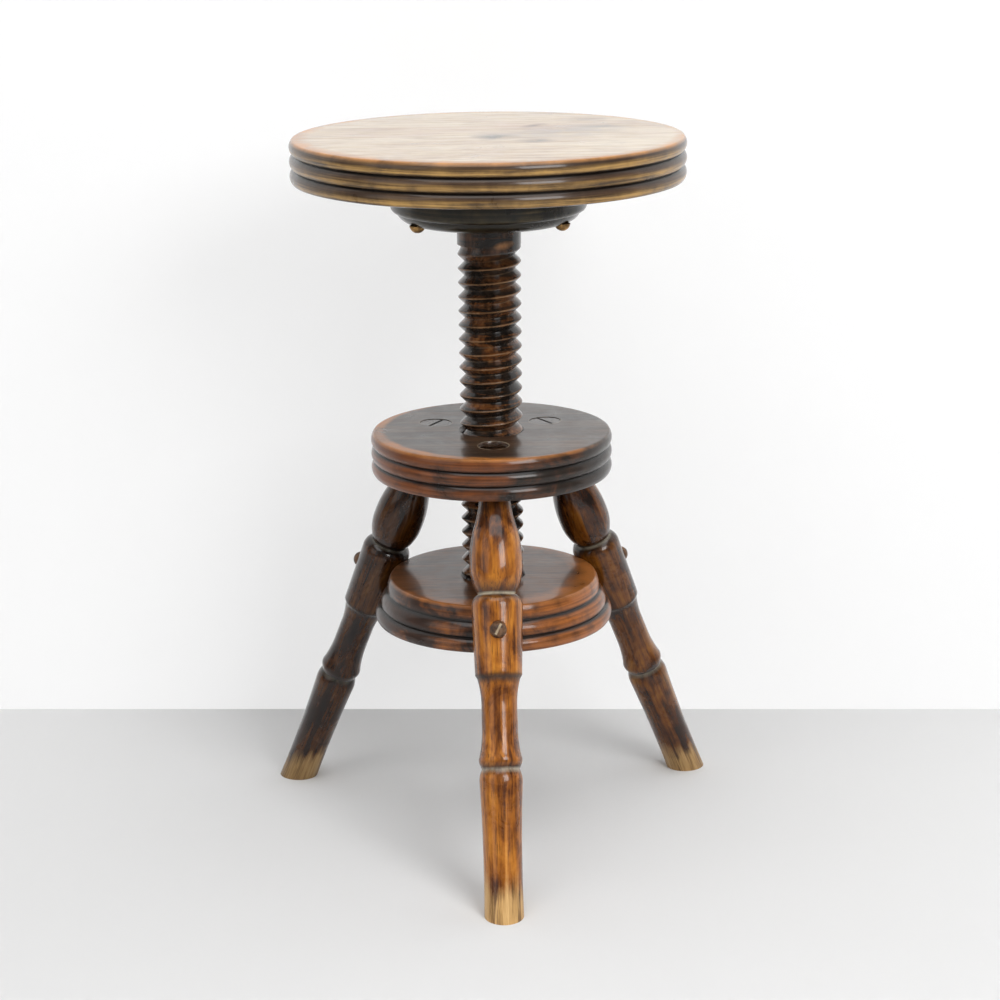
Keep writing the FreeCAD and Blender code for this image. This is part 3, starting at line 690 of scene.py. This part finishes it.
def leg_place(azimuth):
    """A leg's own place: z runs down the leg from the disc's top, x points outwards."""
    a = math.radians(azimuth)
    wide, deep = math.cos(SPLAY), math.sin(SPLAY)
    out = Vector((wide * math.cos(a), wide * math.sin(a), deep))
    down = Vector((deep * math.cos(a), deep * math.sin(a), -wide))
    axes = Matrix((out, down.cross(out), down)).transposed().to_4x4()
    spot = (LEG_CIRCLE * math.cos(a), LEG_CIRCLE * math.sin(a), DISC_TOP)
    return Matrix.Translation(spot) @ axes


def tapped(angle, height):
    """The radius of a disc's tapped thread, a little wider than the screw's."""
    turns = (height - CREST_START) / PITCH - angle / (2 * math.pi)
    flank = abs(2 * (turns - math.floor(turns)) - 1)
    share = min(max(flank - ROOT_FLAT, 0) / FLANK_SHARE, 1)
    return ROOT + (CREST - ROOT) * share + THREAD_GAP


def tapped_board(name, radii, low, high, hollow, rounding):
    """A round board with a beaded edge and the thread tapped through it, eased at the top."""
    outline = reeded_outline(radii, low, high, hollow, 10, rounding)[1:-2]
    rows = round((high - low) / PITCH * 14)

    def bore(angle, height):
        return max(tapped(angle, height), CREST + THREAD_MOUTH - (high - height))

    outline += [(bore, high + (low - high) * i / rows) for i in range(rows + 1)]
    return turned_mesh(name, outline, 192, closed=True)


middle_finish = board_finish(
    "middle_dark_polish", grain_turn=-0.35, high=DISC_TOP, beads=(DISC_LOW, DISC_THICK / 3),
    radius=DISC_RADIUS,
    top=(
        (0.36, (0.012, 0.008, 0.006)), (0.46, (0.036, 0.022, 0.014)),
        (0.54, (0.074, 0.043, 0.027)), (0.64, (0.130, 0.074, 0.043)),
    ),
    edge=(0.030, 0.019, 0.013), warm=(0.190, 0.055, 0.013), rim=(0.480, 0.180, 0.042),
    worn_side=(-0.9, -0.5), rim_width=0.005,
)

# An oval ring of pale dust round each leg's tenon, strongest at the front.
f = middle_finish
colour = f.colour
for (name, azimuth, slot_angle), pale in zip(LEGS, (0.9, 0.55, 0.4)):
    a = math.radians(azimuth)
    centred = f.place(shift=(-LEG_CIRCLE * math.cos(a), -LEG_CIRCLE * math.sin(a), 0))
    oval = f.place(turn=(0, 0, -a), source=centred)
    oval = f.place((1 / SOCKET_OVAL, 1 / SOCKET_RADIUS, 0), source=oval)
    length = f.add("ShaderNodeVectorMath", operation="LENGTH")
    f.put(length.inputs[0], oval)
    ring = f.math("MULTIPLY", length.outputs["Value"], 0.5)
    ring = f.ramp(ring, (0.495, 0.0), (0.50, 1.0), (0.52, 1.0), (0.535, 0.0))
    dust = f.math("MULTIPLY", ring, f.ramp(f.fine, (0.40, 0.0), (0.56, pale)))
    colour = f.mix(dust, colour, (0.42, 0.34, 0.24))
f.put(f.shader.inputs["Base Color"], f.mix(f.below, colour, f.colour))

disc_radii = [DISC_RADIUS] * 3
middle = tapped_board("middle_board", disc_radii, DISC_LOW, DISC_TOP, DISC_HOLLOW, 0.002)
sockets = joined(*[(plug(SOCKET_RADIUS, -0.03, 0.08, 96), leg_place(leg[1])) for leg in LEGS])
middle = cut_away(middle, sockets, "middle_board")
mark(middle, "hollow", bead_hollow(disc_radii, DISC_LOW, DISC_TOP, DISC_HOLLOW))
finish_piece("middle_board", middle, middle_finish.material, "base", "disc_wood", "middle_disc")

# Lower disc: the legs bear on its edge, so its beads step outwards with them. It is
# tapped for the screw too, and each leg is let a hair into it and held by one screw.
# It is warmer and more worn than the middle disc, with a few worm holes.

# Each housing follows the leg's block, in the leg's own place.
LOWER_TOP = 0.236
LOWER_LOW = 0.196
LOWER_RADII = [0.10783, 0.10203, 0.09623]
HOUSING = [(0, 0.131), (0.02285, 0.131), (0.02055, 0.201), (0, 0.201)]

lower_finish = board_finish(
    "lower_dark_polish", grain_turn=0.25, high=LOWER_TOP, beads=(LOWER_LOW, 0.04 / 3),
    radius=0.0962,
    top=(
        (0.36, (0.028, 0.013, 0.008)), (0.46, (0.085, 0.036, 0.016)),
        (0.54, (0.150, 0.062, 0.025)), (0.64, (0.240, 0.100, 0.040)),
    ),
    edge=(0.055, 0.026, 0.016), warm=(0.350, 0.112, 0.024), rim=(0.440, 0.155, 0.036),
    worn_side=(0.6, -0.5), rim_width=0.014, streaky=0.2, holes=0.93,
)
lower = tapped_board("lower_board", LOWER_RADII, LOWER_LOW, LOWER_TOP, DISC_HOLLOW, 0.002)
housings = joined(*[(turned_mesh("housing", HOUSING, 96), leg_place(leg[1])) for leg in LEGS])
lower = cut_away(lower, housings, "lower_board")
mark(lower, "hollow", bead_hollow(LOWER_RADII, LOWER_LOW, LOWER_TOP, DISC_HOLLOW))
finish_piece("lower_board", lower, lower_finish.material, "base", "disc_wood", "lower_disc")

# Legs: three turned legs, splayed, each wedged into the middle disc. A slim neck, a
# bulb, a square-shouldered block for the screw, a waist with a ring, and a plain shin.
# Glossy honey-brown varnish, dirt and dust in the grooves, bare at the feet.

# The tenon's radius, the leg's length, and the turned outline below the tenon: each row
# is a point on an arc, or None for a straight taper, and the point where it ends.
TENON = 0.0134
LEG_END = 0.42315
LEG_CURVES = (
    ((0.01534, 0.060), (0.01903, 0.0732)),
    ((0.02213, 0.0882), (0.0231, 0.105)),
    ((0.020956, 0.1206), (0.0164, 0.131)),
    ((0.02081, 0.1352), (0.02237, 0.141)),
    (None, (0.0204, 0.201)),
    (None, (0.0186, 0.204)),
    ((0.01643, 0.21408), (0.0155, 0.228)),
    (None, (0.0155, 0.2446)),
    ((0.016292, 0.2596), (0.01814, 0.2706)),
    ((0.0188, 0.2746), (0.01748, 0.2786)),
    (None, (0.0164, 0.2816)),
    ((0.018125, 0.28655), (0.0187, 0.2926)),
    ((0.0168, 0.350), (0.0175, LEG_END)),
)


def leg_outline():
    """Radius and distance down the leg: a tenon, then an arc or a straight taper at a time."""
    points = [(0, -TENON), (TENON, -TENON), (TENON, 0.02), (TENON, 0.045)]
    for middle_point, end in LEG_CURVES:
        start = points[-1]
        run, fall = end[0] - start[0], end[1] - start[1]
        steps = max(3, round(math.hypot(run, fall) / 0.0022))
        if middle_point:
            points += arc(start, middle_point, end, steps)
        else:
            for i in range(1, steps + 1):
                points.append((start[0] + run * i / steps, start[1] + fall * i / steps))
    return points + [(0, LEG_END)]


def level_cut(data, height, keep_above):
    """Cuts a mesh level and closes it."""
    mesh = bmesh.new()
    mesh.from_mesh(data)
    cut = bmesh.ops.bisect_plane(
        mesh, geom=mesh.verts[:] + mesh.edges[:] + mesh.faces[:], plane_co=(0, 0, height),
        plane_no=(0, 0, 1), clear_inner=keep_above, clear_outer=not keep_above,
    )
    rim = [item for item in cut["geom_cut"] if isinstance(item, bmesh.types.BMEdge)]
    bmesh.ops.edgeloop_fill(mesh, edges=rim)
    bmesh.ops.recalc_face_normals(mesh, faces=mesh.faces)
    mesh.to_mesh(data)
    mesh.free()
    return data


def six_sided(name, corners):
    """A block from its eight corners: four round one end, then four round the other."""
    data = bpy.data.meshes.new(name)
    data.from_pydata(
        corners, [],
        [(3, 2, 1, 0), (4, 5, 6, 7), (0, 1, 5, 4), (1, 2, 6, 5), (2, 3, 7, 6), (3, 0, 4, 7)],
    )
    return data


def slip(name, half):
    """A thin taper in a leg's own place: the saw cut in a tenon, or the wedge driven into it."""
    taper = ((-0.0015, -TENON), (0.0015, -TENON), (0.0005, 0.024), (-0.0005, 0.024))
    return six_sided(name, [(x, side, z) for side in (-half, half) for x, z in taper])


leg_finish = Finish("leg_honey_varnish")
f = leg_finish
own = f.attribute("along_leg", "Vector")
pores = f.noise(f.place((300, 300, 16), source=own), 2.6, 4, 0.55)
fibre = f.noise(f.place((42, 42, 2.4), source=own), 3.6, 8, 0.62, 0.6)
stain = f.noise(f.place((1, 1, 0.6), source=own), 21.0, 6, 0.62, 0.8)
small = f.noise(f.place((1, 1, 0.7), source=own), 75.0, 5, 0.6, 0.4)
tone = f.math("MULTIPLY_ADD", stain, 0.38, f.math("MULTIPLY", small, 0.20))
tone = f.math("MULTIPLY_ADD", fibre, 0.42, tone)
colour = f.ramp(
    tone, (0.38, (0.020, 0.006, 0.002)), (0.45, (0.100, 0.028, 0.005)),
    (0.51, (0.280, 0.088, 0.010)), (0.58, (0.470, 0.172, 0.020)),
    (0.66, (0.620, 0.275, 0.045)),
)
pore_colour = f.mix(0.8, colour, (0.02, 0.008, 0.004))
colour = f.mix(f.ramp(pores, (0.34, 0.75), (0.45, 0.0)), colour, pore_colour)

# Dark dirt at the neck and in the grooves, and a thin line of pale dust low in two of
# them. The places are twice the distance down the leg.
along = f.math("MULTIPLY", f.split(own)[2], 2.0)
ragged = f.math("MULTIPLY_ADD", f.math("SUBTRACT", small, 0.5), 0.006, along)
dirt = f.ramp(ragged, (0.090, 0.85), (0.150, 0.0))
for stops in (
    ((0.236, 0.0), (0.256, 0.75), (0.2615, 1.0), (0.2660, 0.85), (0.2780, 0.0)),
    ((0.394, 0.0), (0.4015, 0.5), (0.4030, 1.0), (0.4080, 0.9), (0.418, 0.0)),
    ((0.548, 0.0), (0.5575, 0.5), (0.5590, 1.0), (0.5630, 0.9), (0.574, 0.0)),
):
    dirt = f.math("MAXIMUM", dirt, f.ramp(ragged, *stops))
colour = f.mix(f.math("MULTIPLY", dirt, 0.93), colour, (0.014, 0.007, 0.004))
dust = f.math(
    "MAXIMUM", f.ramp(along, (0.2612, 0.0), (0.2620, 1.0), (0.2642, 1.0), (0.2650, 0.0)),
    f.ramp(along, (0.5622, 0.0), (0.5630, 1.0), (0.5656, 1.0), (0.5666, 0.0)),
)
dust = f.math("MULTIPLY", dust, f.ramp(small, (0.36, 0.45), (0.50, 1.0)))
colour = f.mix(dust, colour, (0.74, 0.66, 0.50))

# Painted shade makes the side legs darker than the front one, as less light falls on them;
# the tenons show dark end grain in the disc's top, and the feet are worn to bare tan wood in
# ragged streaks.
# Painted shade: each leg's colour is multiplied by its own darkening factor, lowest on the left
# leg.
painted_shade = f.attribute("painted_shade")
colour = f.mix(1.0, colour, f.ramp(painted_shade, (0.0, 0.0), (1.0, 1.0)), "MULTIPLY")
height = f.split(f.object)[2]
tenon_end = f.ramp(f.math("MULTIPLY", height, 2.0), (0.7375, 0.0), (0.7385, 1.0))
end_grain = f.ramp(small, (0.35, (0.010, 0.006, 0.004)), (0.65, (0.060, 0.034, 0.020)))
colour = f.mix(tenon_end, colour, end_grain)
tan = f.math("MULTIPLY_ADD", pores, 0.4, f.math("MULTIPLY", fibre, 0.6))
tan = f.ramp(
    tan, (0.38, (0.19, 0.100, 0.035)), (0.50, (0.52, 0.31, 0.115)), (0.62, (0.70, 0.45, 0.19))
)
# The bare feet of the side legs take a lighter share of the same painted shade.
tan = f.mix(1.0, tan, f.ramp(painted_shade, (0.0, 0.42), (1.0, 1.0)), "MULTIPLY")
worn_off = f.math("MULTIPLY_ADD", f.math("SUBTRACT", stain, 0.5), -0.05, height)
worn_off = f.math("MULTIPLY_ADD", f.math("SUBTRACT", fibre, 0.5), -0.05, worn_off)
bare = f.ramp(worn_off, (0.018, 1.0), (0.034, 0.0))
colour = f.mix(f.math("MULTIPLY", bare, 0.92), colour, tan)
f.put(f.shader.inputs["Base Color"], colour)
rough = f.math("ADD", f.ramp(stain, (0.3, 0.20), (0.7, 0.36)), f.math("MULTIPLY", bare, 0.35))
f.varnish(0.8, rough, 0.10)
relief = f.math("ADD", fibre, f.math("MULTIPLY", pores, 0.4))
f.put(f.shader.inputs["Normal"], f.bump(relief, 0.0005, 0.5, f.bump(stain, 0.004, 0.4)))

# A leg's screw: how far below the disc's top, how far down the leg, and how far from the
# leg's own axis its head sits, in a spot face. Then how far each leg's colour is darkened as
# painted shade, and how deep its tenon has sunk in the disc.
SCREW_BELOW = 0.156 + 0.0025
SCREW_DOWN = (SCREW_BELOW - 0.0227 * math.sin(SPLAY)) / math.cos(SPLAY)
SCREW_OUT = 0.0207
OUTWARDS = Matrix.Rotation(math.radians(90), 4, "Y")
LEG_SCREW = Matrix.Translation((SCREW_OUT, 0, SCREW_DOWN)) @ OUTWARDS
LEG_SPOT_FACE = 0.0079
# Painted shade factors: 1 keeps a leg's colour, lower values paint the leg darker.
LEG_PAINTED_SHADE = {"front": 1.0, "right": 0.44, "left": 0.20}
SUNK = {"front": 0.0016, "right": 0.0004, "left": 0.0004}

for name, azimuth, slot_angle in LEGS:
    place = leg_place(azimuth)
    cuts = joined((slip("kerf", 0.03), Matrix()), (plug(LEG_SPOT_FACE, 0.0, 0.02), LEG_SCREW))
    leg = cut_away(turned_mesh("leg", leg_outline(), 96), cuts, "leg_" + name)
    leg.transform(place)
    leg = level_cut(leg, 0.0, True)
    leg = level_cut(leg, DISC_TOP - SUNK[name], False)
    back, apart = place.inverted(), Vector((azimuth * 0.01, 0, 0))
    mark(leg, "along_leg", lambda co: back @ co + apart, "FLOAT_VECTOR")
    mark(leg, "painted_shade", lambda co: LEG_PAINTED_SHADE[name])
    finish_piece("turned_leg_" + name, leg, leg_finish.material, "base", "leg_wood", "leg_" + name)

# Wedges: thin slips of hardwood driven into the saw cuts in the leg tenons, which spread
# them in the disc, and cut level with them. Only their end grain shows.

wedge_finish = Finish("wedge_end_grain")
f = wedge_finish
grain = f.noise(f.object, 420.0, 3)
grain = f.ramp(grain, (0.35, (0.05, 0.028, 0.014)), (0.65, (0.16, 0.09, 0.045)))
f.put(f.shader.inputs["Base Color"], grain)
f.put(f.shader.inputs["Roughness"], 0.5)
for name, azimuth, slot_angle in LEGS:
    wedge = slip("wedge", 0.0119)
    wedge.transform(leg_place(azimuth))
    wedge = level_cut(wedge, DISC_TOP - SUNK[name], False)
    finish_piece(
        "wedge_" + name, wedge, wedge_finish.material, "base", "wedge_wood", "leg_wedge_" + name
    )

# Screws: round-head wood screws with a filed slot, brown brass under the seat and
# rusty iron in the legs. One screw is modelled and nodes set it in its places.

# The head is part of a ball, flat underneath; the shank is plain and ends in a cone.
HEAD_RADIUS = 0.0070
HEAD_HIGH = 0.0065
SHANK = 0.0025
dome = (HEAD_RADIUS ** 2 + HEAD_HIGH ** 2) / (2 * HEAD_HIGH)
slant = math.hypot(HEAD_RADIUS, HEAD_HIGH)
shoulder = (slant / 2, HEAD_HIGH - dome * (1 - HEAD_RADIUS / slant))
screw_outline = [(0, -0.0500), (SHANK, -0.0450), (SHANK, 0), (HEAD_RADIUS, 0)]
screw_outline += arc((HEAD_RADIUS, 0), shoulder, (0, HEAD_HIGH), 12)
screw_outline[-1] = (0, HEAD_HIGH)
slot_corners = ((-0.0008, -0.01), (0.0008, -0.01), (0.0008, 0.01), (-0.0008, 0.01))
file_cut = six_sided("slot", [(x, y, z) for z in (0.0047, 0.0090) for x, y in slot_corners])
screw_mesh = cut_away(turned_mesh("screw", screw_outline, 48), file_cut, "one_screw")
mark(screw_mesh, "filed", lambda co: 1.0 if abs(co.x) < 0.00085 and 0.0040 < co.z < 0.0062 else 0.0)
screw_object = bpy.data.objects.new("one_screw", screw_mesh)
bpy.context.scene.collection.objects.link(screw_object)


def screw_metal(name, fineness, dull, clean, rough, metallic, filed=None):
    """Old metal, dull with cleaner patches, and brighter where its slot was filed."""
    f = Finish(name)
    colour = f.ramp(f.noise(f.object, fineness, 4), (0.35, dull), (0.65, clean))
    if filed:
        colour = f.mix(f.attribute("filed"), colour, filed)
    f.put(f.shader.inputs["Base Color"], colour)
    f.put(f.shader.inputs["Roughness"], rough)
    f.put(f.shader.inputs["Metallic"], metallic)
    return f.material


brown_brass = screw_metal("brown_brass", 190.0, (0.10, 0.055, 0.020), (0.42, 0.24, 0.08), 0.45, 0.7)
rusty_iron = screw_metal(
    "rusty_iron", 230.0, (0.035, 0.018, 0.010), (0.19, 0.095, 0.045), 0.42, 0.3, (0.45, 0.36, 0.24)
)

screws = Rule("screws_in_place", **{
    "Places": "NodeSocketGeometry", "Screw": "NodeSocketObject", "Size": 1.0,
    "Material": "NodeSocketMaterial",
})
model = screws.add("GeometryNodeObjectInfo", {"Object": screws["Screw"]})
turn = screws.add("GeometryNodeInputNamedAttribute", {"Name": "turn"}, data_type="FLOAT_VECTOR")
turn = screws.add("FunctionNodeEulerToRotation", {0: turn.outputs[0]})
set_in = screws.add("GeometryNodeInstanceOnPoints", {
    "Points": screws["Places"], "Instance": model.outputs["Geometry"],
    "Scale": screws["Size"], "Rotation": turn.outputs[0],
})
screws.finish(set_in.outputs[0], screws["Material"])


def screw_set(name, places, size, material, body, slot, *nodes):
    """One set of screws as one piece, each in its place and turned as it was left."""
    start = bpy.data.meshes.new(name + "_places")
    start.from_pydata([place.to_translation() for place in places], [], [])
    layer = start.attributes.new("turn", "FLOAT_VECTOR", "POINT")
    for item, place in zip(layer.data, places):
        item.vector = place.to_euler("XYZ")
    data = screws.run(name, start, Screw=screw_object, Size=size, Material=material)
    finish_piece(name, data, material, body, slot, *nodes)


screw_set(
    "flange_screws", [flange_place(*screw) for screw in FLANGE_SCREWS], 1.0, brown_brass,
    "seat", "flange_screw_metal",
    "flange_screw_front_left", "flange_screw_front_right", "flange_screw_back",
)
leg_screw_places = [
    leg_place(azimuth) @ LEG_SCREW @ Matrix.Rotation(math.radians(slot_angle), 4, "Z")
    for name, azimuth, slot_angle in LEGS
]
screw_set(
    "leg_screws", leg_screw_places, 1.04, rusty_iron, "base", "leg_screw_metal",
    "leg_screw_front", "leg_screw_right", "leg_screw_left",
)
bpy.data.objects.remove(screw_object)

# Floor and wall of a plain studio, meeting where they meet in the photograph. The wall
# looks white without lighting the stool, and can be seen through from behind, so that
# views from behind show the stool.

floor = Finish("pale_floor")
floor.shader.inputs["Base Color"].default_value = (0.64, 0.64, 0.64, 1)
floor.shader.inputs["Roughness"].default_value = 0.9
wall = Finish("white_wall")
wall.shader.inputs["Base Color"].default_value = (0.93, 0.93, 0.93, 1)
wall.shader.inputs["Roughness"].default_value = 0.8
ray = wall.add("ShaderNodeLightPath").outputs
seen = wall.math("MAXIMUM", ray["Is Glossy Ray"], ray["Is Transmission Ray"])
seen = wall.math("MAXIMUM", ray["Is Camera Ray"], seen)
white = wall.add("ShaderNodeEmission")
white.inputs["Strength"].default_value = 1.0
side = wall.add("ShaderNodeNewGeometry").outputs["Backfacing"]
clear = wall.add("ShaderNodeBsdfTransparent")


def blended(share, first, second):
    node = wall.add("ShaderNodeMixShader")
    for socket, value in zip(node.inputs, (share, first, second)):
        wall.put(socket, value)
    return node.outputs[0]


painted = blended(wall.math("MULTIPLY", seen, 0.55), wall.shader.outputs[0], white.outputs[0])
wall.put(wall.nodes["Material Output"].inputs["Surface"], blended(side, painted, clear.outputs[0]))
left, right = (-4, 0.5219), (4, 0.025)
for name, corners, paint in (
    ("floor", [(-4, -4, 0), (4, -4, 0), (*right, 0), (*left, 0)], floor.material),
    ("wall", [(*left, 0), (*right, 0), (*right, 4), (*left, 4)], wall.material),
):
    data = bpy.data.meshes.new(name)
    data.from_pydata(corners, [], [(0, 1, 2, 3)])
    data.materials.append(paint)
    plane = bpy.data.objects.new(name, data)
    bpy.context.scene.collection.objects.link(plane)

# The camera stands where the photograph was taken, turned a little on its own axis as
# there. A soft window light comes from the front right, a wide one from above, and a
# weak one from the left.

CAMERA_PLACE = (-0.0571, -2.11198, 0.91158)
CAMERA_ROLL = math.radians(-0.65)
camera = bpy.data.objects.new("camera", bpy.data.cameras.new("camera"))
bpy.context.scene.collection.objects.link(camera)
camera.data.lens = 87.5
camera.data.sensor_width = 36
look = Vector((0.02918, 0.96083, -0.27559)).normalized()
level = look.cross(Vector((0, 0, 1))).normalized()
upward = level.cross(look)
across = level * math.cos(CAMERA_ROLL) + upward * math.sin(CAMERA_ROLL)
top = upward * math.cos(CAMERA_ROLL) - level * math.sin(CAMERA_ROLL)
axes = Matrix((across, top, -look)).transposed().to_4x4()
camera.matrix_world = Matrix.Translation(CAMERA_PLACE) @ axes
bpy.context.scene.camera = camera

world = bpy.data.worlds.new("room")
bpy.context.scene.world = world
world.use_nodes = True
world.node_tree.nodes["Background"].inputs["Color"].default_value = (1, 1, 1, 1)
world.node_tree.nodes["Background"].inputs["Strength"].default_value = 0.26
AIM = Vector((0, 0, 0.35))  # halfway up the stool
for name, spot, size, power in (
    ("window", (1.35, -2.4, 1.9), (1.3, 1.3), 50),
    ("ceiling", (0.0, -0.9, 2.9), (3.0, 2.0), 52),
    ("fill", (-2.6, -1.8, 1.6), (2.2, 2.2), 14),
):
    lamp = bpy.data.objects.new(name, bpy.data.lights.new(name, "AREA"))
    bpy.context.scene.collection.objects.link(lamp)
    lamp.data.shape = "RECTANGLE"
    lamp.data.size, lamp.data.size_y = size
    lamp.data.energy = power
    facing = (AIM - Vector(spot)).to_track_quat("-Z", "Y").to_matrix().to_4x4()
    lamp.matrix_world = Matrix.Translation(spot) @ facing
bpy.context.scene.view_settings.view_transform = "Standard"
